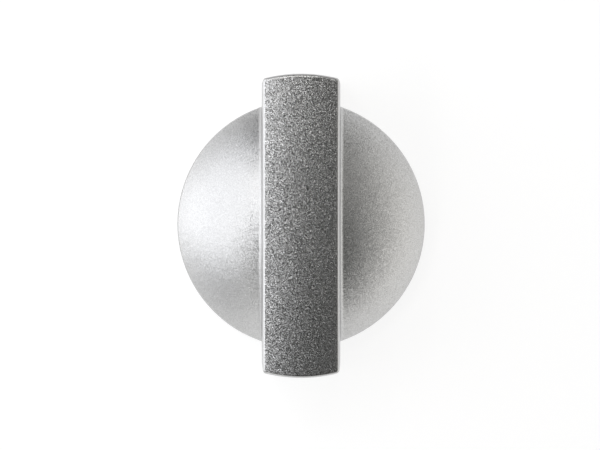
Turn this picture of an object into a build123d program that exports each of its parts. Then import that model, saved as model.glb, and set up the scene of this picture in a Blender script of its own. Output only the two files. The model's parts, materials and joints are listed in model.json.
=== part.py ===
from build123d import *
import math
import os

# Burner knob of a gas hob: a domed disc with a raised grip bar across it, moulded in one
# piece and hollow underneath, with a stem that takes the D-shaped spindle of the tap.
# The frame has its origin on the spindle axis, in the plane that the skirt stands on.
# +Z points up through the crown of the grip, and +Y runs along the grip.

# Disc, in millimetres as all lengths here
DISC_DIAMETER = 42.0        # across the skirt
SKIRT_HEIGHT = 4.0          # straight wall from the foot to where the dome starts
DOME_RISE = 8.5             # crown of the dome above the top of the skirt
RIM_RADIUS = 0.6            # rounding between skirt and dome

# Grip bar
KNOB_HEIGHT = 24.0          # foot of the skirt to the crown of the grip
GRIP_LENGTH = 50.0          # between the middles of the two curved ends
GRIP_WIDTH = 12.6           # across the top, before its edges are rounded
GRIP_FOOT = 1.0             # height of the ends' lower edge, so that they clear the hob
GRIP_CROWN_RISE = 0.55      # how much the top stands higher along its middle than at its sides
GRIP_EDGE_RADIUS = 0.5      # rounding of the long and curved top edges
GRIP_CORNER_RADIUS = 0.65   # rounding of the four upright corners, at the top
ROOT_RADIUS = 0.8           # hollow rounding where the grip rises from the dome

# Moulding
WALL = 2.0
DRAFT_ANGLE = 1.0           # degrees that the grip's flanks and ends lean, to leave the mould

# Tap spindle that the knob is made for
SPINDLE_DIAMETER = 8.0
SPINDLE_ACROSS_FLAT = 6.5   # from the flat to the far side of the round
SPINDLE_CLEARANCE = 0.05    # free room all round the spindle in the D, also at its flat
GUIDE_CLEARANCE = 0.25      # free room all round it in the wider, round stretch at the mouth

# Stem and its socket
STEM_DIAMETER = 12.4
STEM_FOOT = 1.0             # height of the stem's mouth above the foot of the skirt
GUIDE_DEPTH = 3.0           # round stretch of the socket, from the mouth to the D
SOCKET_DEPTH = 15.0         # whole socket, from the mouth to its closed end
MOUTH_CHAMFER = 0.5         # lead-in of the socket

# Spring clip in the flat of the socket: a steel strip folded into a back leg and a free leg
CLIP_THICKNESS = 0.35
CLIP_WIDTH = 3.0
CLIP_LENGTH = 10.6          # from the fold to the top of the back leg
CLIP_BITE = 0.2             # how far the free leg stands into the place of the spindle
CLIP_BOW = 0.3              # how far the free leg bows out between its two ends
CLIP_FREE_LEG = 8.6         # straight distance between the two ends of the free leg
CLIP_SIDE_CLEARANCE = 0.2   # between the strip and each side of its pocket
CLIP_POCKET_DEPTH = 1.1     # from the socket's flat to the floor of the pocket
CLIP_POCKET_LENGTH = 11.0
BARB_HEIGHT = 1.2           # of the teeth that hold the back leg between the pocket's sides
BARB_CREST = 0.4            # height of the flat on each tooth that bears on the pocket
BARB_DROP = 1.4             # from the top of the back leg down to the teeth

# Steel ring on the stem
RING_THICKNESS = 0.7
RING_HEIGHT = 6.0
RING_EDGE_CHAMFER = 0.2     # on the outer edge at the stem's mouth
RING_CLEARANCE = 0.2        # between the ring and the upright steps in the ribs

# Ribs between stem and skirt
RIB_ANGLES = (45, 135, 225, 315)
RIB_THICKNESS = 1.2
RIB_FOOT = 2.5              # height of the ribs' lower edge

# What follows from those sizes
DISC_RADIUS = DISC_DIAMETER / 2
DRAFT = math.radians(DRAFT_ANGLE)
DRAFT_SLOPE = math.tan(DRAFT)
DOME_TOP = SKIRT_HEIGHT + DOME_RISE
DOME_RADIUS = (DISC_RADIUS**2 + DOME_RISE**2) / (2 * DOME_RISE)
DOME_CENTRE = DOME_TOP - DOME_RADIUS
CROWN_RADIUS = ((GRIP_WIDTH / 2) ** 2 + GRIP_CROWN_RISE**2) / (2 * GRIP_CROWN_RISE)
STEM_RADIUS = STEM_DIAMETER / 2
SOCKET_RADIUS = SPINDLE_DIAMETER / 2 + SPINDLE_CLEARANCE
GUIDE_RADIUS = SPINDLE_DIAMETER / 2 + GUIDE_CLEARANCE
SPINDLE_FLAT = SPINDLE_ACROSS_FLAT - SPINDLE_DIAMETER / 2
SOCKET_FLAT = SPINDLE_FLAT + SPINDLE_CLEARANCE
GUIDE_TOP = STEM_FOOT + GUIDE_DEPTH
SOCKET_TOP = STEM_FOOT + SOCKET_DEPTH
POCKET_FLOOR = SOCKET_FLAT + CLIP_POCKET_DEPTH
POCKET_TOP = GUIDE_TOP + CLIP_POCKET_LENGTH
POCKET_WIDTH = CLIP_WIDTH + 2 * CLIP_SIDE_CLEARANCE
RING_TOP = STEM_FOOT + RING_HEIGHT
RING_RADIUS = STEM_RADIUS + RING_THICKNESS
CUT = 1.0                   # how far a cutting form runs on past the face that it opens

UPRIGHT = (Align.CENTER, Align.CENTER, Align.MIN)
FROM_AXIS = (Align.MIN, Align.CENTER, Align.MIN)
TO_FLAT = (Align.MAX, Align.CENTER, Align.MIN)


def cylinder(radius, low, high):
    """An upright cylinder on the knob's axis, between two heights."""
    return Pos(0, 0, low) * Cylinder(radius, high - low, align=UPRIGHT)


def disc_form(inset, low, rim_radius):
    """Skirt and dome as one full form, drawn in by inset, with its foot at height low."""
    half = Rectangle(DISC_RADIUS - inset, DOME_TOP - low, align=(Align.MIN, Align.MIN))
    section = Pos(0, low) * half & Pos(0, DOME_CENTRE) * Circle(DOME_RADIUS - inset)
    if rim_radius:
        rim = section.vertices().group_by(Axis.X)[-1].sort_by(Axis.Y)[-1]
        section = fillet(rim, rim_radius)
    return revolve(Plane.XZ * section, Axis.Z)


def grip_form(inset, low, corner_radius):
    """The grip bar as one full form, drawn in by inset, from the height low upwards."""
    spread = DRAFT_SLOPE * (KNOB_HEIGHT - low)
    half_width = GRIP_WIDTH / 2 - inset + spread
    end_radius = GRIP_LENGTH / 2 - inset + spread
    plan = Rectangle(2 * half_width, 2 * GRIP_LENGTH) & Circle(end_radius)
    if corner_radius:
        plan = fillet(plan.vertices(), corner_radius + spread)
    bar = extrude(Pos(0, 0, low) * plan, KNOB_HEIGHT - low, taper=DRAFT_ANGLE)
    crown = Cylinder(CROWN_RADIUS - inset, 2 * GRIP_LENGTH, rotation=(90, 0, 0))
    return bar & Pos(0, 0, KNOB_HEIGHT - CROWN_RADIUS) * crown


def root_rounding(side):
    """The hollow rounding between one flank of the grip and the dome.

    A ball that rolls along touching both keeps to a circle about the line through the
    dome's centre square to the flank, so the rounding is a ring turned about that line.
    It ends at the skirt, or on a grip shorter than the disc where its corners start.
    """
    flank_normal = Vector(side * math.cos(DRAFT), 0, math.sin(DRAFT))
    up_flank = Vector(-side * math.sin(DRAFT), 0, math.cos(DRAFT))
    centre = Vector(0, 0, DOME_CENTRE)
    flank = (Vector(side * GRIP_WIDTH / 2, 0, KNOB_HEIGHT) - centre).dot(flank_normal)
    ball_height = math.sqrt((DOME_RADIUS + ROOT_RADIUS) ** 2 - (flank + ROOT_RADIUS) ** 2)
    ball = Vector(ball_height, flank + ROOT_RADIUS)
    on_flank = Vector(ball_height, flank)
    on_dome = ball * (DOME_RADIUS / (DOME_RADIUS + ROOT_RADIUS))
    under_dome = ball * ((DOME_RADIUS - WALL / 2) / (DOME_RADIUS + ROOT_RADIUS))
    in_grip = Vector(under_dome.X, flank - WALL / 2)
    in_grip_high = Vector(ball_height, flank - WALL / 2)
    middle = ball + (on_flank + on_dome - 2 * ball).normalized() * ROOT_RADIUS
    hollow_line = ThreePointArc(on_flank, middle, on_dome)
    back_line = Polyline(on_dome, under_dome, in_grip, in_grip_high, on_flank)
    section = Plane(centre, x_dir=up_flank, z_dir=up_flank.cross(flank_normal))
    ring = revolve(section * make_face(hollow_line + back_line), Axis(centre, flank_normal))
    reach = min(DISC_RADIUS, GRIP_LENGTH / 2 - GRIP_CORNER_RADIUS)
    return ring & cylinder(reach, GRIP_FOOT, KNOB_HEIGHT)


def outside():
    """The knob as it looks from outside, still full, with all its roundings."""
    grip = grip_form(0, GRIP_FOOT, GRIP_CORNER_RADIUS)
    grip = fillet(grip.faces().sort_by(Axis.Z)[-1].edges(), GRIP_EDGE_RADIUS)
    return disc_form(0, 0, RIM_RADIUS) + grip + root_rounding(1) + root_rounding(-1)


def hollow():
    """The room under the wall of disc and grip, open downwards."""
    return disc_form(WALL, -CUT, 0) + grip_form(WALL, -CUT, 0)


def within_walls(form):
    """What of a stem or rib lies inside the knob, ending in the middle of its wall."""
    return form & (disc_form(WALL / 2, 0, 0) + grip_form(WALL / 2, GRIP_FOOT, 0))


def stem():
    """The full stem, from its mouth up into the walls and the top of the grip."""
    return within_walls(cylinder(STEM_RADIUS, STEM_FOOT, KNOB_HEIGHT))


def ribs():
    """Upright ribs from the stem to the skirt, stepped where the steel ring seats."""
    rib = Pos(0, 0, RIB_FOOT) * Box(DISC_RADIUS, RIB_THICKNESS, KNOB_HEIGHT, align=FROM_AXIS)
    star = Part() + [Rot(0, 0, angle) * rib for angle in RIB_ANGLES]
    return (star & disc_form(WALL / 2, 0, 0)) - cylinder(RING_RADIUS + RING_CLEARANCE, 0, RING_TOP)


def socket():
    """What is cut out of the stem: lead-in, round guide, D and the pocket of the clip."""
    lead_in = Pos(0, 0, STEM_FOOT) * Cone(
        GUIDE_RADIUS + MOUTH_CHAMFER, GUIDE_RADIUS, MOUTH_CHAMFER, align=UPRIGHT
    )
    guide = cylinder(GUIDE_RADIUS, STEM_FOOT - CUT, GUIDE_TOP)
    round_side = Box(STEM_DIAMETER, STEM_DIAMETER, KNOB_HEIGHT, align=TO_FLAT)
    d_section = cylinder(SOCKET_RADIUS, STEM_FOOT, SOCKET_TOP) & Pos(SOCKET_FLAT, 0, 0) * round_side
    pocket = Box(POCKET_FLOOR, POCKET_WIDTH, CLIP_POCKET_LENGTH, align=TO_FLAT)
    return lead_in + guide + d_section + Pos(POCKET_FLOOR, 0, GUIDE_TOP) * pocket


def knob_body():
    """The whole moulding of skirt, dome, grip, stem and ribs."""
    shell = outside() - hollow()
    return shell + stem() + ribs() - socket()


def spindle_clip():
    """The folded spring, with its back leg on the pocket's floor and against its end."""
    back = POCKET_FLOOR - CLIP_THICKNESS / 2
    fold_end = SPINDLE_FLAT - CLIP_BITE + CLIP_THICKNESS / 2 + CLIP_BOW
    lean = 2 * math.atan(2 * CLIP_BOW / CLIP_FREE_LEG)
    fold_radius = (back - fold_end) / (1 + math.cos(lean))
    fold_height = POCKET_TOP - CLIP_LENGTH + CLIP_THICKNESS / 2 + fold_radius
    back_leg = Line((back, POCKET_TOP), (back, fold_height))
    fold = JernArc(back_leg @ 1, (0, -1), fold_radius, math.degrees(lean) - 180)
    free_leg = TangentArc(fold @ 1, (fold @ 1) + (0, CLIP_FREE_LEG), tangent=fold % 1)
    strip = Plane.XZ * trace([back_leg, fold, free_leg], CLIP_THICKNESS)
    spring = extrude(strip, CLIP_WIDTH / 2, both=True)

    crest = POCKET_WIDTH / 2
    side = CLIP_WIDTH / 2
    top = POCKET_TOP - BARB_DROP
    foot = top - BARB_HEIGHT
    teeth = Polyline(
        (-crest, foot), (crest, foot), (crest, foot + BARB_CREST), (side, top),
        (-side, top), (-crest, foot + BARB_CREST), close=True,
    )
    plate = extrude(Plane.YZ.offset(POCKET_FLOOR) * make_face(teeth), -CLIP_THICKNESS)
    return spring + plate


def stem_ring():
    """The steel ring round the mouth of the stem, pressed up to the steps of the ribs."""
    ring = cylinder(RING_RADIUS, STEM_FOOT, RING_TOP) - cylinder(STEM_RADIUS, STEM_FOOT, RING_TOP)
    mouth = ring.faces().sort_by(Axis.Z)[0].edges().sort_by(SortBy.LENGTH)[-1]
    return chamfer(mouth, RING_EDGE_CHAMFER)


os.makedirs("parts", exist_ok=True)
for piece in (knob_body, spindle_clip, stem_ring):
    export_step(piece(), f"parts/{piece.__name__}.step")
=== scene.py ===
# %% [markdown]
# # A burner knob in satin silver lacquer
#
# The object is the knob of a gas hob: a domed disc with a straight grip bar across it, moulded
# in one piece of ABS and sprayed with a silver lacquer full of fine aluminium flake. Under it,
# out of sight, a folded spring clip and a pressed ring of steel hold it on the spindle.
#
# The CAD model comes in as a fixed frame. Its knob body already has the right shape, with the
# exact normals of every curved face, so it stays as it is and gets its finish here. The clip and
# the ring are made again, with the soft edges that bent and turned steel has.

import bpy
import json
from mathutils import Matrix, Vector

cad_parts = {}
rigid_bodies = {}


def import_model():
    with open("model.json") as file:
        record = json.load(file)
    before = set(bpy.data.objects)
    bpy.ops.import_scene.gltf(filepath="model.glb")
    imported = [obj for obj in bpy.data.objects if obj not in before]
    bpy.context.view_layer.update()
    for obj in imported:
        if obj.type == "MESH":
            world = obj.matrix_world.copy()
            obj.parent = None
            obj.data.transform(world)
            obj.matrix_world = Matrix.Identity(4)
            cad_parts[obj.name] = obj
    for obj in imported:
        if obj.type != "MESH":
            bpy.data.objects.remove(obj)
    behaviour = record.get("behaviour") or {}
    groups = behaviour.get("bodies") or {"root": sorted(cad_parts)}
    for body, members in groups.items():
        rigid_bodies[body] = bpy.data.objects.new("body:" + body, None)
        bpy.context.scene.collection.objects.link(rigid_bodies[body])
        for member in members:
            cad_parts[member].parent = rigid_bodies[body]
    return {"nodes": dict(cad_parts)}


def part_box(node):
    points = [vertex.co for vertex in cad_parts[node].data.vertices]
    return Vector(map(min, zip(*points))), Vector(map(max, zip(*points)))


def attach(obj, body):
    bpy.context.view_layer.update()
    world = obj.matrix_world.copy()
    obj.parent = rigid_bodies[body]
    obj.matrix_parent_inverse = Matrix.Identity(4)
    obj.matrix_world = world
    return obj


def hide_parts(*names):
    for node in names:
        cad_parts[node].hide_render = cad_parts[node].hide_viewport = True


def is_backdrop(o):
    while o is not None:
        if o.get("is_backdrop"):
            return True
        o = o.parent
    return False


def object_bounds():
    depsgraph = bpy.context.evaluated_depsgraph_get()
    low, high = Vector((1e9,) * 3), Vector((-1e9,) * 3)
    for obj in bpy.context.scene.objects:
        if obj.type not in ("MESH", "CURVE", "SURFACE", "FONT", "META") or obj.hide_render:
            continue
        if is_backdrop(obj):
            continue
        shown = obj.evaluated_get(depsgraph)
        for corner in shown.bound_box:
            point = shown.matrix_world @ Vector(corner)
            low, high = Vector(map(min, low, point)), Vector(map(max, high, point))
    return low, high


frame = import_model()
cad_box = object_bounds()
print("CAD nodes:", sorted(frame["nodes"]))

# %% [markdown]
# ## Numbers, colours and nodes
#
# Sizes are written in millimetres and colours as the hex codes of a paint card. Blender works in
# metres and in linear light, so each is converted where it is used.
#
# Every node tree below is written with one helper. It makes a node, sets the node's own
# settings, and fills its inputs: a plain value is typed in, an output socket is linked, and a
# node stands for its first output.

# %% Millimetres and colours
import json
import math

import bpy
from mathutils import Matrix, Vector

MM = 0.001


def colour(hex_code):
    """The linear RGBA of an sRGB hex colour."""
    channels = [int(hex_code[i:i + 2], 16) / 255 for i in (1, 3, 5)]
    return (*[c / 12.92 if c <= 0.04045 else ((c + 0.055) / 1.055) ** 2.4 for c in channels], 1)


print("middle grey in linear light:", round(colour("#808080")[0], 3))


# %% One helper for nodes
def add(tree, kind, inputs=None, **settings):
    """One node, with its settings, and its inputs as values, sockets or nodes."""
    node = tree.nodes.new(kind)
    for name, value in settings.items():
        setattr(node, name, value)
    for name, value in (inputs or {}).items():
        if isinstance(value, bpy.types.Node):
            value = value.outputs[0]
        if isinstance(value, bpy.types.NodeSocket):
            tree.links.new(value, node.inputs[name])
        else:
            node.inputs[name].default_value = value
    return node


# %% [markdown]
# ## Camera
#
# The knob is seen from straight above with a long lens, so its flanks nearly vanish: the camera
# is well over half a metre off, and the disc is 42 mm wide. It stands about 10 mm off the knob's
# axis, towards the upper end of the grip, which is why the grip, being higher than the disc,
# seems to sit lower in the picture than the disc does.

# %% The camera
CAMERA_PLACE = Vector((-0.4, 9.7, 626)) * MM
CAMERA_AIM = Vector((-0.18, -0.17, 3.5)) * MM
lens = bpy.data.cameras.new("long_lens")
lens.lens, lens.sensor_width = 220, 36
lens.clip_start, lens.clip_end = 0.01, 20
camera = bpy.data.objects.new("camera", lens)
backwards = (CAMERA_PLACE - CAMERA_AIM).normalized()
rightwards = Vector((0, 1, 0)).cross(backwards).normalized()
upwards = backwards.cross(rightwards)
camera.rotation_euler = Matrix((rightwards, upwards, backwards)).transposed().to_euler()
camera.location = CAMERA_PLACE
bpy.context.scene.collection.objects.link(camera)
bpy.context.scene.camera = camera
bpy.context.scene.view_settings.view_transform = "Standard"
print("camera distance:", round(camera.location.length, 3), "m")

# %% [markdown]
# ## Light
#
# A flake lacquer is a field of tiny mirrors, so it shows what stands round it. Overhead the room
# is dark, which gives the top of the grip its deep grey. Low down it is pale, and softboxes stand
# on the left and past the grip's upper end. A world that fades from a pale horizon to a dark
# zenith gives the first two. Both ends of the fade are brighter towards one side, because no room
# is even, and the room's white is cool on the left and warm on the right, as the lacquer shows.

# %% The room round the knob
HORIZON, HORIZON_X, HORIZON_Y = 2.5, 1.3, -2.1      # radiance, and how it grows along +X and +Y
ZENITH, ZENITH_X, ZENITH_Y = -0.26, 0.88, 0.14      # the same at the fade's upper end
FADE_LOW, FADE_HIGH = -0.91, 0.75                   # its two ends, as sines of the elevation

world = bpy.data.worlds.new("studio_room")
bpy.context.scene.world = world
world.use_nodes = True
room = world.node_tree
room.nodes.clear()
towards = add(room, "ShaderNodeTexCoord").outputs["Generated"]
level = add(room, "ShaderNodeVectorMath", {0: towards, 1: (1, 1, 0)}, operation="MULTIPLY")
around = add(room, "ShaderNodeVectorMath", {0: level}, operation="NORMALIZE")
height = add(room, "ShaderNodeSeparateXYZ", {0: towards}).outputs["Z"]
pale = add(room, "ShaderNodeVectorMath", {0: around, 1: (HORIZON_X, HORIZON_Y, 0)},
           operation="DOT_PRODUCT").outputs["Value"]
pale = add(room, "ShaderNodeMath", {0: pale, 1: HORIZON})
dark = add(room, "ShaderNodeVectorMath", {0: towards, 1: (ZENITH_X, ZENITH_Y, 0)},
           operation="DOT_PRODUCT").outputs["Value"]
dark = add(room, "ShaderNodeMath", {0: dark, 1: ZENITH})
dark = add(room, "ShaderNodeMath", {0: dark, 1: 0.0}, operation="MAXIMUM")
fade = add(room, "ShaderNodeMapRange", {"Value": height, "From Min": FADE_LOW,
           "From Max": FADE_HIGH}, interpolation_type="SMOOTHSTEP")
brightness = add(room, "ShaderNodeMix", {0: fade, 2: pale, 3: dark})
print("nodes of the fade:", len(room.nodes))

# %% The room's white, from left to right
COOL_WHITE, WARM_WHITE = "#FCFDFF", "#FFFDF8"

rightness = add(room, "ShaderNodeSeparateXYZ", {0: towards}).outputs["X"]
warmth = add(room, "ShaderNodeMapRange", {"Value": rightness, "From Min": -1.0})
white = add(room, "ShaderNodeMix", {0: warmth, 6: colour(COOL_WHITE), 7: colour(WARM_WHITE)},
            data_type="RGBA").outputs[2]
glow = add(room, "ShaderNodeBackground", {"Color": white, "Strength": brightness})
add(room, "ShaderNodeOutputWorld", {"Surface": glow})
print("room nodes:", len(room.nodes))

# %% [markdown]
# A large softbox on the left lights the dome, a smaller one high up, past the upper end of the
# grip, lights the grip, and a long strip adds a gleam to the lower left. The two softboxes stand
# so near that the grip's ends see them at different angles, so the light on the grip fades from
# its upper end to its lower one.
#
# A softbox is an area lamp. It is placed by two angles, its azimuth round the knob from +X and
# its angle down from the zenith, and sized by how wide it looks from the knob. A lamp's power is
# spread over its face and over a half sphere of directions, so a wanted radiance is multiplied
# by pi and by the area to get watts.

# %% The softboxes
def softbox(name, white, away, azimuth, zenith, roll, half_width, half_height, radiance):
    """An area lamp that faces the knob. Away is in metres, and half sizes are per metre of it."""
    width, tall = 2 * half_width * away, 2 * half_height * away
    lamp = bpy.data.lights.new(name, "AREA")
    lamp.shape, lamp.size, lamp.size_y = "RECTANGLE", width, tall
    lamp.energy = radiance * math.pi * width * tall
    lamp.color = colour(white)[:3]
    box = bpy.data.objects.new(name, lamp)
    bearing, drop, tilt = math.radians(azimuth), math.radians(zenith), math.radians(roll)
    outwards = Vector((math.sin(drop) * math.cos(bearing), math.sin(drop) * math.sin(bearing),
                       math.cos(drop)))
    across = Vector((0, 0, 1)).cross(outwards).normalized()
    up = outwards.cross(across)
    facing = Matrix((across * math.cos(tilt) + up * math.sin(tilt),
                     up * math.cos(tilt) - across * math.sin(tilt), outwards))
    box.rotation_euler = facing.transposed().to_euler()
    box.location = outwards * away
    box.visible_camera = False
    bpy.context.scene.collection.objects.link(box)
    print(f"{name}: {width:.2f} x {tall:.2f} m, {lamp.energy:.1f} W")


softbox("left_softbox", "#FBFCFF", 0.3, 166, 56, -30, 0.7, 0.57, 1.65)
softbox("high_softbox", "#FFFDF9", 0.4, 101, 28, -8, 0.28, 0.2, 2.6)
softbox("lower_left_strip", "#FFFFFD", 1.4, 225, 46.5, -40, 0.81, 0.06, 2.0)

# %% [markdown]
# ## The paper
#
# The knob lies on white paper that curves up all round, as a studio sweep does. For the camera
# and in the lacquer's reflections the paper glows white, with the knob's soft shadow still on it.
# For all other light it is plain matt paper, so the glow throws no extra light on the knob. Seen
# from behind it is clear, so that the underside of the knob can be looked at from below.

# %% The sweep's shape, a section turned round the vertical
SWEEP_RADIUS, SWEEP_HEIGHT, SWEEP_CURVE = 2.5, 0.34, 0.2    # metres
SWEEP_SIDES, CURVE_STEPS = 96, 12
FLOOR_GAP = 0.02 * MM       # keeps the paper from sharing a plane with the knob's foot

section = [(SWEEP_RADIUS - SWEEP_CURVE, 0)]
for step in range(1, CURVE_STEPS + 1):
    turn = math.pi / 2 * step / CURVE_STEPS
    section.append((SWEEP_RADIUS - SWEEP_CURVE * (1 - math.sin(turn)),
                    SWEEP_CURVE * (1 - math.cos(turn))))
section.append((SWEEP_RADIUS, SWEEP_HEIGHT))
verts, faces = [(0, 0, -FLOOR_GAP)], []
for radius, rise in section:
    for side in range(SWEEP_SIDES):
        angle = math.tau * side / SWEEP_SIDES
        verts.append((radius * math.cos(angle), radius * math.sin(angle), rise - FLOOR_GAP))
for side in range(SWEEP_SIDES):
    after = (side + 1) % SWEEP_SIDES
    faces.append((0, 1 + side, 1 + after))
    for row in range(len(section) - 1):
        inner, outer = 1 + row * SWEEP_SIDES, 1 + (row + 1) * SWEEP_SIDES
        faces.append((inner + side, outer + side, outer + after, inner + after))
sweep_mesh = bpy.data.meshes.new("paper_sweep")
sweep_mesh.from_pydata(verts, [], faces)
sweep = bpy.data.objects.new("paper_sweep", sweep_mesh)
bpy.context.scene.collection.objects.link(sweep)
sweep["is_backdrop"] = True
print("sweep:", len(faces), "faces")

# %% White matt paper
PAPER_GLOW = 0.84           # share of the white that stays in the deepest shadow
PAPER_MATT, PAPER_SHADE = "#EDEDEC", "#909090"

paper = bpy.data.materials.new("white_matt_paper")
paper.use_nodes = True
tree = paper.node_tree
tree.nodes.clear()
matt = add(tree, "ShaderNodeBsdfDiffuse", {"Color": colour(PAPER_MATT)})
shaded = add(tree, "ShaderNodeBsdfDiffuse", {"Color": colour(PAPER_SHADE)})
lit = add(tree, "ShaderNodeEmission", {"Color": colour("#FFFFFF"), "Strength": PAPER_GLOW})
glowing = add(tree, "ShaderNodeAddShader", {0: shaded, 1: lit})
rays = add(tree, "ShaderNodeLightPath").outputs
seen = add(tree, "ShaderNodeMath", {0: rays["Is Camera Ray"], 1: rays["Is Glossy Ray"]},
           operation="MAXIMUM")
seen = add(tree, "ShaderNodeMath", {0: seen, 1: rays["Is Transmission Ray"]}, operation="MAXIMUM")
shown = add(tree, "ShaderNodeMixShader", {0: seen, 1: matt, 2: glowing})
from_behind = add(tree, "ShaderNodeNewGeometry").outputs["Backfacing"]
clear = add(tree, "ShaderNodeBsdfTransparent")
one_sided = add(tree, "ShaderNodeMixShader", {0: from_behind, 1: shown, 2: clear})
add(tree, "ShaderNodeOutputMaterial", {"Surface": one_sided})
sweep_mesh.materials.append(paper)
print("paper nodes:", len(tree.nodes))

# %% [markdown]
# ## Where the lacquer lies
#
# The knob is sprayed after moulding, from above and from the sides, so the hollow underneath
# stays bare grey ABS. Painting a mask by hand would do, but the moulding's sizes already say
# which side a point is on: it is on the hollow side if it lies inside the middle of the wall.
# The disc's middle wall is a dome over a cylinder, and the grip's is a bar with curved ends.
# There the lacquer thins out in speckles, as overspray does.

# %% Starting a material in millimetres
def finish_tree(name):
    """A new material, its emptied node tree, and the place on the object in millimetres."""
    material = bpy.data.materials.new(name)
    material.use_nodes = True
    material.node_tree.nodes.clear()
    metres = add(material.node_tree, "ShaderNodeTexCoord").outputs["Object"]
    place = add(material.node_tree, "ShaderNodeVectorMath", {0: metres, "Scale": 1 / MM},
                operation="SCALE")
    return material, material.node_tree, place


# %% How far a point is past the middle of the wall
DISC_MIDWALL = 20.0                     # mm from the axis
DOME_MIDWALL = 29.19                    # mm from the dome's centre
DOME_CENTRE = (0, 0, -17.69)
FLANK_MIDWALL, END_MIDWALL = 5.5, 24.3  # mm from the grip's mid-plane, and from the axis
TOP_MIDWALL = 23.0                      # mm of height

lacquer, tree, place = finish_tree("satin_silver_lacquer_on_abs")
axes = add(tree, "ShaderNodeSeparateXYZ", {0: place}).outputs
level = add(tree, "ShaderNodeVectorMath", {0: place, 1: (1, 1, 0)}, operation="MULTIPLY")
from_axis = add(tree, "ShaderNodeVectorMath", {0: level}, operation="LENGTH").outputs["Value"]
from_dome = add(tree, "ShaderNodeVectorMath", {0: place, 1: DOME_CENTRE},
                operation="DISTANCE").outputs["Value"]
past_skirt = add(tree, "ShaderNodeMath", {0: from_axis, 1: DISC_MIDWALL}, operation="SUBTRACT")
past_dome = add(tree, "ShaderNodeMath", {0: from_dome, 1: DOME_MIDWALL}, operation="SUBTRACT")
past_disc = add(tree, "ShaderNodeMath", {0: past_skirt, 1: past_dome}, operation="MAXIMUM")
sideways = add(tree, "ShaderNodeMath", {0: axes["X"]}, operation="ABSOLUTE")
past_flank = add(tree, "ShaderNodeMath", {0: sideways, 1: FLANK_MIDWALL}, operation="SUBTRACT")
past_end = add(tree, "ShaderNodeMath", {0: from_axis, 1: END_MIDWALL}, operation="SUBTRACT")
past_top = add(tree, "ShaderNodeMath", {0: axes["Z"], 1: TOP_MIDWALL}, operation="SUBTRACT")
past_grip = add(tree, "ShaderNodeMath", {0: past_flank, 1: past_end}, operation="MAXIMUM")
past_grip = add(tree, "ShaderNodeMath", {0: past_grip, 1: past_top}, operation="MAXIMUM")
past_wall = add(tree, "ShaderNodeMath", {0: past_disc, 1: past_grip}, operation="MINIMUM")
print("nodes of the middle wall:", len(tree.nodes))

# %% The coated side, from 0 on the hollow side to 1 outside
SPRAY_EDGE = 0.35                           # mm to each side over which the lacquer thins
SPECKLE_REACH, SPECKLE_SIZE = 0.8, 1 / 6    # mm that the edge wanders, and a speckle's size

speckle = add(tree, "ShaderNodeTexNoise", {"Vector": place, "Scale": 1 / SPECKLE_SIZE,
              "Detail": 3.0})
ragged = add(tree, "ShaderNodeMath", {0: speckle, 1: 2 * SPECKLE_REACH, 2: -SPECKLE_REACH},
             operation="MULTIPLY_ADD")
past_wall = add(tree, "ShaderNodeMath", {0: past_wall, 1: ragged})
coated = add(tree, "ShaderNodeMapRange", {"Value": past_wall, "From Min": -SPRAY_EDGE,
             "From Max": SPRAY_EDGE}, interpolation_type="SMOOTHSTEP")
print("mask nodes:", len(tree.nodes))

# %% [markdown]
# ## The flake in the lacquer
#
# Each flake is a small mirror that leans a little its own way. Over a dark part of the room some
# flakes still catch a softbox and the grain shows, and over an even light it is gone. Leaning
# the normal of each cell of a cell pattern does just that. Real flakes are 0.02 to 0.05 mm, too
# fine for the render, so a cell stands for the clump of flakes that acts as one.
#
# Clumps also differ a little in brightness, because some hold more flake than others. On top of
# the grip the paint lies on a coarser spark-eroded texture, which makes them differ much more:
# there the grain is twice as strong as on the disc. The upper part of the grip's edges and
# flanks comes from the smooth part of the mould, so it shines evenly. The top of the grip is
# also painted a little darker all over, which is painted shade.

# %% Flakes that lean
CLUMP_SIZE = 0.095          # mm
CLUMP_LEAN = 0.22           # a clump's slopes spread evenly over this range
GRIP_LEAN = 1.09            # how many times as far clumps lean on top of the grip
GRAIN_FROM, GRAIN_FULL = 14.0, 22.0     # mm of height over which the coarse texture sets in
EDGE_FROM, TOP_FROM = 0.90, 0.98        # how far up a face looks, at an edge and on the top

clumps = add(tree, "ShaderNodeTexVoronoi",
             {"Vector": place, "Scale": 1 / CLUMP_SIZE}).outputs["Color"]
straight = add(tree, "ShaderNodeNewGeometry").outputs["Normal"]
on_grip = add(tree, "ShaderNodeMapRange", {"Value": axes["Z"], "From Min": GRAIN_FROM,
              "From Max": GRAIN_FULL}, interpolation_type="SMOOTHSTEP")
looks_up = add(tree, "ShaderNodeSeparateXYZ", {0: straight}).outputs["Z"]
on_top = add(tree, "ShaderNodeMapRange", {"Value": looks_up, "From Min": EDGE_FROM,
             "From Max": TOP_FROM}, interpolation_type="SMOOTHSTEP")
lean = add(tree, "ShaderNodeVectorMath", {0: clumps, 1: (0.5, 0.5, 0.5)}, operation="SUBTRACT")
top_lean = add(tree, "ShaderNodeMath", {0: on_top, 1: CLUMP_LEAN * GRIP_LEAN}, operation="MULTIPLY")
lean_by = add(tree, "ShaderNodeMix", {0: on_grip, 2: CLUMP_LEAN, 3: top_lean})
lean_by = add(tree, "ShaderNodeMath", {0: lean_by, 1: coated}, operation="MULTIPLY")
lean = add(tree, "ShaderNodeVectorMath", {0: lean, "Scale": lean_by}, operation="SCALE")
leaning = add(tree, "ShaderNodeVectorMath", {0: straight, 1: lean}, operation="ADD")
leaning = add(tree, "ShaderNodeVectorMath", {0: leaning}, operation="NORMALIZE")
print("mask and leaning nodes:", len(tree.nodes))

# %% Flakes that glint, and painted shade on top of the grip
DISC_GLINT = 0.14           # how much brighter or darker than the mean a clump is on the disc
GRIP_GLINT = 0.64           # the same on top of the grip
GRIP_PAINTED_SHADE = 0.12            # share by which the grip's top is painted darker: painted shade

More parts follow.
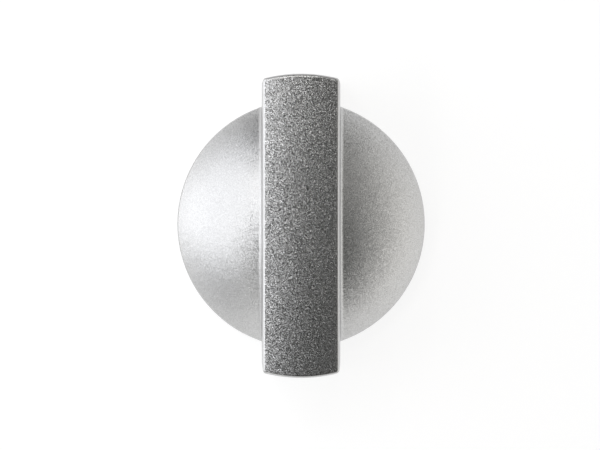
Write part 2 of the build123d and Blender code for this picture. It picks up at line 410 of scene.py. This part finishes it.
shades = add(tree, "ShaderNodeSeparateXYZ", {0: clumps}).outputs
# The range is shifted down, so the grip's top is darker on average: painted shade.
top_tone_and_painted_shade = add(tree, "ShaderNodeMapRange", {"Value": shades["X"],
                "To Min": GRIP_GLINT - GRIP_PAINTED_SHADE, "To Max": -GRIP_GLINT - GRIP_PAINTED_SHADE})
top_tone_and_painted_shade = add(tree, "ShaderNodeMath", {0: top_tone_and_painted_shade, 1: on_top}, operation="MULTIPLY")
disc_glint = add(tree, "ShaderNodeMapRange", {"Value": shades["Z"], "To Min": DISC_GLINT,
                 "To Max": -DISC_GLINT})
tone_and_painted_shade = add(tree, "ShaderNodeMix", {0: on_grip, 2: disc_glint, 3: top_tone_and_painted_shade})
tone_and_painted_shade = add(tree, "ShaderNodeMath", {0: tone_and_painted_shade, 1: 1.0})
print("mask and flake nodes:", len(tree.nodes))

# %% [markdown]
# ## Lacquer and plastic together
#
# The flake layer behaves as metal: its colour tints what it mirrors, and a roughness of a third
# makes satin of it. Bare ABS is the opposite, a dull grey plastic with a broad soft sheen, a
# slight mottle from its pigment, and a grain of 0.2 mm from the spark-eroded mould. One shader
# holds both, and the mask turns it from one to the other.

# %% Satin silver lacquer over grey ABS
SILVER, DARKER_GREY, PALER_GREY = "#C8C8C8", "#858789", "#969899"
SATIN, MOULDED = 0.35, 0.52             # roughness of lacquer and plastic
MOTTLE_SIZE = 2.857                     # mm
EROSION_SIZE, EROSION_DEPTH, EROSION = 0.2, 0.05, 0.35      # mm, mm, and the bump's strength

silver = add(tree, "ShaderNodeVectorMath", {0: colour(SILVER)[:3], "Scale": tone_and_painted_shade},
             operation="SCALE")
mottle = add(tree, "ShaderNodeTexNoise", {"Vector": place, "Scale": 1 / MOTTLE_SIZE,
             "Detail": 4.0})
plastic = add(tree, "ShaderNodeMix", {0: mottle, 6: colour(DARKER_GREY), 7: colour(PALER_GREY)},
              data_type="RGBA").outputs[2]
shade = add(tree, "ShaderNodeMix", {0: coated, 6: plastic, 7: silver}, data_type="RGBA").outputs[2]
gloss = add(tree, "ShaderNodeMix", {0: coated, 2: MOULDED, 3: SATIN})
erosion = add(tree, "ShaderNodeTexNoise", {"Vector": place, "Scale": 1 / EROSION_SIZE,
              "Detail": 4.0})
bare = add(tree, "ShaderNodeMath", {0: EROSION, 1: coated}, operation="SUBTRACT", use_clamp=True)
grained = add(tree, "ShaderNodeBump", {"Height": erosion, "Strength": bare,
              "Distance": EROSION_DEPTH * MM, "Normal": leaning})
surface = add(tree, "ShaderNodeBsdfPrincipled", {"Base Color": shade, "Metallic": coated,
              "Roughness": gloss, "Normal": grained})
add(tree, "ShaderNodeOutputMaterial", {"Surface": surface})
body = frame["nodes"]["knob_body"]
for material_slot in body.material_slots:
    material_slot.material = lacquer
print("knob body:", len(body.data.polygons), "faces,", len(tree.nodes), "nodes in its finish")

# %% [markdown]
# ## The two steel pieces
#
# Both follow a rule: the ring is a section carried round a circle, and the clip is a section
# carried along a bent line. Geometry Nodes make such a shape from its sizes. Each tree has its
# sizes as named inputs, and what it grows is then turned into a plain mesh.

# %% Building a tree and growing a piece from it
def geometry_tree(name, sizes):
    """A Geometry Nodes tree with an input for each size, and the outputs of its input node."""
    made = bpy.data.node_groups.new(name, "GeometryNodeTree")
    for size in sizes:
        made.interface.new_socket(size, in_out="INPUT", socket_type="NodeSocketFloat")
    made.interface.new_socket("Mesh", in_out="OUTPUT", socket_type="NodeSocketGeometry")
    return made, add(made, "NodeGroupInput").outputs


def end_tree(made, mesh, material):
    """Shade the mesh smooth, give it its material and end the tree."""
    smooth = add(made, "GeometryNodeSetShadeSmooth", {"Geometry": mesh})
    real = add(made, "GeometryNodeRealizeInstances", {0: smooth})
    finished = add(made, "GeometryNodeSetMaterial", {"Geometry": real, "Material": material})
    add(made, "NodeGroupOutput", {0: finished})


def grow(name, made, sizes):
    """Run a tree with those sizes and return the result as a plain mesh piece."""
    maker = bpy.data.objects.new(name + "_maker", bpy.data.meshes.new(name + "_maker"))
    bpy.context.scene.collection.objects.link(maker)
    modifier = maker.modifiers.new("tree", "NODES")
    modifier.node_group = made
    for item in made.interface.items_tree:
        if item.in_out == "INPUT":
            modifier[item.identifier] = sizes[item.name]
    grown = maker.evaluated_get(bpy.context.evaluated_depsgraph_get())
    piece = bpy.data.objects.new(name, bpy.data.meshes.new_from_object(grown))
    bpy.data.objects.remove(maker)
    bpy.context.scene.collection.objects.link(piece)
    for end, pick in (("from", min), ("to", max)):
        corner = [pick(vertex.co[axis] for vertex in piece.data.vertices) for axis in range(3)]
        print(name, end, [round(length / MM, 2) for length in corner], "mm")
    print(name, len(piece.data.polygons), "faces")
    return piece


# %% [markdown]
# ## Zinc on the ring
#
# The ring is turned from steel tube and then plated with zinc, thin enough to leave the lines of
# the turning tool in sight, and slightly blue and cloudy from its passivation. The lines run
# round the ring, so the pattern hardly changes sideways and changes quickly with the height:
# about a line each 0.1 mm, some three times as coarse as a real feed, so that they show.

# %% Bright zinc plate on turned steel
TURNED_PITCH, TURNED_LENGTH, CLOUD_SIZE = 0.1, 2.5, 2.0     # mm
TURNED_DEPTH, TURNED_LINES = 0.02, 0.5                      # mm, and the bump's strength

zinc, tree, place = finish_tree("bright_zinc_on_turned_steel")
turning = (1 / TURNED_LENGTH, 1 / TURNED_LENGTH, 1 / TURNED_PITCH)
stretched = add(tree, "ShaderNodeMapping", {0: place, "Scale": turning})
turned = add(tree, "ShaderNodeTexNoise", {"Vector": stretched, "Scale": 1.0, "Detail": 4.0})
cloud = add(tree, "ShaderNodeTexNoise", {"Vector": place, "Scale": 1 / CLOUD_SIZE, "Detail": 3.0})
gloss = add(tree, "ShaderNodeMapRange", {"Value": turned, "To Min": 0.2, "To Max": 0.42})
tone = add(tree, "ShaderNodeMix", {0: cloud, 6: colour("#B7BBC0"), 7: colour("#D3D5D6")},
           data_type="RGBA").outputs[2]
lines = add(tree, "ShaderNodeBump", {"Height": turned, "Strength": TURNED_LINES,
            "Distance": TURNED_DEPTH * MM})
surface = add(tree, "ShaderNodeBsdfPrincipled", {"Base Color": tone, "Metallic": 1.0,
              "Roughness": gloss, "Normal": lines})
add(tree, "ShaderNodeOutputMaterial", {"Surface": surface})
print("zinc nodes:", len(tree.nodes))

# %% [markdown]
# ## The ring
#
# A ring could be spun from its section by hand. The tree does the same with its edges already
# rounded: a rectangle with small fillets is carried round a circle and lifted into place.

# %% The ring's tree
EDGE_STEPS = 4              # points round each small edge, of the clip too
low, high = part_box("stem_ring")
RING_SIZES = {
    "Bore radius": 6.205 * MM,          # a hair over the stem, so that no faces coincide
    "Outer radius": high.x, "Foot": low.z, "Height": high.z - low.z,
    "Edge radius": 0.15 * MM, "Step along section": 0.09 * MM,
}
RING_SIDES = 160

ring_tree, given = geometry_tree("turned_ring", RING_SIZES)
wall = add(ring_tree, "ShaderNodeMath", {0: given["Outer radius"], 1: given["Bore radius"]},
           operation="SUBTRACT")
middle = add(ring_tree, "ShaderNodeMath", {0: wall, 1: 0.5, 2: given["Bore radius"]},
             operation="MULTIPLY_ADD")
circle = add(ring_tree, "GeometryNodeCurvePrimitiveCircle", {"Resolution": RING_SIDES,
             "Radius": middle})
section = add(ring_tree, "GeometryNodeCurvePrimitiveQuadrilateral",
              {"Width": wall, "Height": given["Height"]})
section = add(ring_tree, "GeometryNodeFilletCurve", {"Curve": section,
              "Radius": given["Edge radius"], "Count": EDGE_STEPS}, mode="POLY")
section = add(ring_tree, "GeometryNodeResampleCurve", {"Curve": section,
              "Length": given["Step along section"]}, mode="LENGTH")
swept = add(ring_tree, "GeometryNodeCurveToMesh", {"Curve": circle, "Profile Curve": section})
rise = add(ring_tree, "ShaderNodeMath", {0: given["Height"], 1: 0.5, 2: given["Foot"]},
           operation="MULTIPLY_ADD")
lift = add(ring_tree, "ShaderNodeCombineXYZ", {"Z": rise})
lifted = add(ring_tree, "GeometryNodeTransform", {"Geometry": swept, "Translation": lift})
end_tree(ring_tree, lifted, zinc)
ring = grow("stem_ring_turned", ring_tree, RING_SIZES)

# %% [markdown]
# ## Spring steel on the clip
#
# The clip is cut from cold-rolled strip and left as it comes: bright, faintly warm from the
# tempering, with fine rolling lines along the strip. The strip stands upright in the socket, so
# the pattern changes slowly with the height and quickly sideways: about a line each 0.07 mm, a
# few times as coarse as real rolling lines, so that they show.

# %% Rolled spring steel
ROLLED_PITCH, ROLLED_LENGTH, TEMPER_SIZE = 1 / 14, 2.0, 2.857   # mm
ROLLED_DEPTH, ROLLED_LINES = 0.02, 0.4                          # mm, and the bump's strength

spring_steel, tree, place = finish_tree("cold_rolled_spring_steel")
rolling = (1 / ROLLED_PITCH, 1 / ROLLED_PITCH, 1 / ROLLED_LENGTH)
stretched = add(tree, "ShaderNodeMapping", {0: place, "Scale": rolling})
rolled = add(tree, "ShaderNodeTexNoise", {"Vector": stretched, "Scale": 1.0, "Detail": 3.0})
temper = add(tree, "ShaderNodeTexNoise", {"Vector": place, "Scale": 1 / TEMPER_SIZE,
             "Detail": 2.0})
gloss = add(tree, "ShaderNodeMapRange", {"Value": rolled, "To Min": 0.22, "To Max": 0.4})
tone = add(tree, "ShaderNodeMix", {0: temper, 6: colour("#A8A49C"), 7: colour("#BDBBB6")},
           data_type="RGBA").outputs[2]
lines = add(tree, "ShaderNodeBump", {"Height": rolled, "Strength": ROLLED_LINES,
            "Distance": ROLLED_DEPTH * MM})
surface = add(tree, "ShaderNodeBsdfPrincipled", {"Base Color": tone, "Metallic": 1.0,
              "Roughness": gloss, "Normal": lines})
add(tree, "ShaderNodeOutputMaterial", {"Surface": surface})
print("spring steel nodes:", len(tree.nodes))

# %% [markdown]
# ## The clip
#
# The strip runs down its back leg, folds round at the bottom and comes up again as a free leg
# that bows towards the spindle. A bent line could be drawn point by point, but bending is what
# makes this shape, so the tree does it as a bending tool would: it takes a straight line, tells
# for each step of it which way the strip heads there, and walks along those headings. Two small
# teeth on the back leg dig into the sides of the pocket.

# %% The clip's sizes
low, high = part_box("spindle_clip")
STRIP_WIDTH, STRIP_THICKNESS = 3.0 * MM, 0.35 * MM
FOLD_RADIUS, FOLD_TURN = 0.3517 * MM, math.radians(172.02)      # of the strip's middle
CLIP_SIZES = {
    "Thickness": STRIP_THICKNESS, "Width": STRIP_WIDTH, "Edge radius": 0.07 * MM,
    "Back": high.x - STRIP_THICKNESS / 2, "Top": high.z, "Back leg": 10.073 * MM,
    "Fold": FOLD_RADIUS * FOLD_TURN, "Fold turn": FOLD_TURN,
    "Free leg": 8.630 * MM, "Free turn": math.radians(15.96),
    "Teeth start": 1.4 * MM, "Teeth full": 2.2 * MM, "Teeth end": 2.6 * MM,
    "Teeth reach": (high.y - low.y) / STRIP_WIDTH - 1,
}
CLIP_POINTS = 480
strip_length = sum(CLIP_SIZES[part] for part in ("Back leg", "Fold", "Free leg"))
print("strip length:", round(strip_length / MM, 2), "mm")

# %% Which way the strip heads at each step
clip_tree, given = geometry_tree("folded_strip", CLIP_SIZES)
fold_end = add(clip_tree, "ShaderNodeMath", {0: given["Back leg"], 1: given["Fold"]})
whole = add(clip_tree, "ShaderNodeMath", {0: fold_end, 1: given["Free leg"]})
line = add(clip_tree, "GeometryNodeCurvePrimitiveLine", {"Length": whole}, mode="DIRECTION")
line = add(clip_tree, "GeometryNodeResampleCurve", {"Curve": line, "Count": CLIP_POINTS})
step = add(clip_tree, "ShaderNodeMath", {0: whole, 1: CLIP_POINTS - 1}, operation="DIVIDE")
along = add(clip_tree, "GeometryNodeSplineParameter").outputs["Length"]
midway = add(clip_tree, "ShaderNodeMath", {0: step, 1: 0.5, 2: along}, operation="MULTIPLY_ADD")
folded = add(clip_tree, "ShaderNodeMapRange", {"Value": midway, "From Min": given["Back leg"],
             "From Max": fold_end, "To Max": given["Fold turn"]})
bowed = add(clip_tree, "ShaderNodeMapRange", {"Value": midway, "From Min": fold_end,
            "From Max": whole, "To Max": given["Free turn"]})
heading = add(clip_tree, "ShaderNodeMath", {0: folded, 1: bowed})
print("heading nodes:", len(clip_tree.nodes))

# %% Walking along the heading
inward = add(clip_tree, "ShaderNodeMath", {0: heading}, operation="SINE")
downward = add(clip_tree, "ShaderNodeMath", {0: heading}, operation="COSINE")
stride = add(clip_tree, "ShaderNodeCombineXYZ", {"X": inward, "Z": downward})
stride = add(clip_tree, "ShaderNodeVectorMath", {0: stride, "Scale": step}, operation="SCALE")
walked = add(clip_tree, "GeometryNodeAccumulateField", {0: stride},
             data_type="FLOAT_VECTOR").outputs["Trailing"]
start = add(clip_tree, "ShaderNodeCombineXYZ", {"X": given["Back"], "Z": given["Top"]})
bent_place = add(clip_tree, "ShaderNodeVectorMath", {0: start, 1: walked}, operation="SUBTRACT")
bent = add(clip_tree, "GeometryNodeSetPosition", {"Geometry": line, "Position": bent_place})
bent = add(clip_tree, "GeometryNodeStoreNamedAttribute", {"Geometry": bent, "Name": "along",
           "Value": along}, data_type="FLOAT", domain="POINT")
flat_way = add(clip_tree, "GeometryNodeSetCurveNormal", {"Curve": bent, "Normal": (0, 1, 0)},
               mode="FREE")
section = add(clip_tree, "GeometryNodeCurvePrimitiveQuadrilateral",
              {"Width": given["Width"], "Height": given["Thickness"]})
section = add(clip_tree, "GeometryNodeFilletCurve", {"Curve": section,
              "Radius": given["Edge radius"], "Count": EDGE_STEPS}, mode="POLY")
strip = add(clip_tree, "GeometryNodeCurveToMesh", {"Curve": flat_way, "Profile Curve": section,
            "Fill Caps": True})
print("heading and walking nodes:", len(clip_tree.nodes))

# %% The teeth, and the finished clip
along = add(clip_tree, "GeometryNodeInputNamedAttribute", {"Name": "along"}, data_type="FLOAT")
growing = add(clip_tree, "ShaderNodeMapRange", {"Value": along, "From Min": given["Teeth start"],
              "From Max": given["Teeth full"], "To Max": given["Teeth reach"]})
before_end = add(clip_tree, "FunctionNodeCompare", {0: along, 1: given["Teeth end"]},
                 operation="LESS_THAN")
wider = add(clip_tree, "GeometryNodeSwitch", {"Switch": before_end, "False": 0.0,
            "True": growing}, input_type="FLOAT")
spot = add(clip_tree, "GeometryNodeInputPosition")
across = add(clip_tree, "ShaderNodeSeparateXYZ", {0: spot}).outputs["Y"]
push = add(clip_tree, "ShaderNodeMath", {0: across, 1: wider}, operation="MULTIPLY")
push = add(clip_tree, "ShaderNodeCombineXYZ", {"Y": push})
toothed = add(clip_tree, "GeometryNodeSetPosition", {"Geometry": strip, "Offset": push})
end_tree(clip_tree, toothed, spring_steel)
clip = grow("spindle_clip_folded", clip_tree, CLIP_SIZES)

# %% [markdown]
# ## Seating the pieces
#
# Each steel piece rides on the knob's one body and stands in for its CAD node, which is
# hidden.

# %% Each steel piece stands for its CAD node
for piece, node_name, slot_name in (
    (ring, "stem_ring", "zinc_plated_steel"), (clip, "spindle_clip", "spring_steel"),
):
    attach(piece, "root")
    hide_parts(node_name)
    print(piece.name, "stands for", node_name)

# %% [markdown]
# ## The box
#
# Dressing the model must not change its size, so the box of the CAD model and the box of what
# stands here now are both printed.

# %% Note the two boxes, and finish
visual_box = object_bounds()
for box_name, box in (("CAD", cad_box), ("dressed", visual_box)):
    print(box_name, "box:", [[round(c / MM, 2) for c in corner] for corner in box], "mm")
